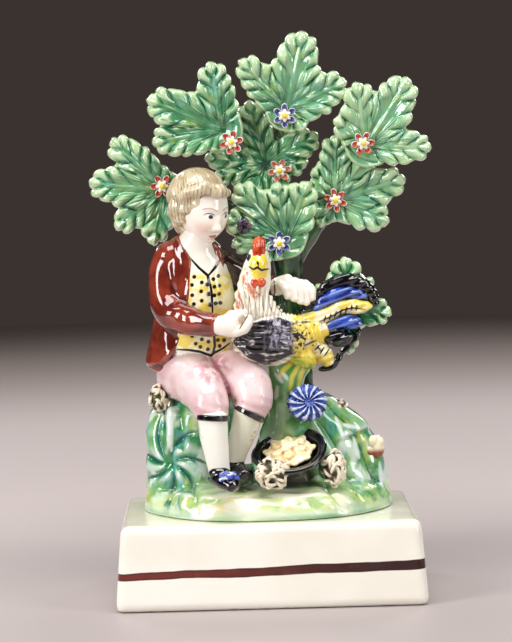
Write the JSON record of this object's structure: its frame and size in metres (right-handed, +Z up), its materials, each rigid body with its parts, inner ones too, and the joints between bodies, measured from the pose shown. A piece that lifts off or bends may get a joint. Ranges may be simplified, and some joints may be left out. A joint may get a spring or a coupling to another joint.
{
  "type": "bocage figure",
  "caption": "Glazed earthenware figure of a seated boy feeding a cockerel on a stump before a flowering oak, on a mound and an oblong plinth.",
  "frame": {"origin": "middle of the plinth's footprint, on the surface it stands on", "axes": "+Z up to the top of the tree, +X to the right of someone who faces the figure, +Y away from them"},
  "size_m": [0.1223, 0.074, 0.1988],
  "materials": {
    "plinth_glaze": "clear gloss glaze over cream-white clay, with one painted brown band",
    "figure_glaze": "gloss glaze over colours painted by hand: leaf green, maroon, cream, pink, blue, yellow and black"
  },
  "bodies": {
    "root": {"plinth": "plinth_glaze", "figure": "figure_glaze"}
  },
  "joints": []
}
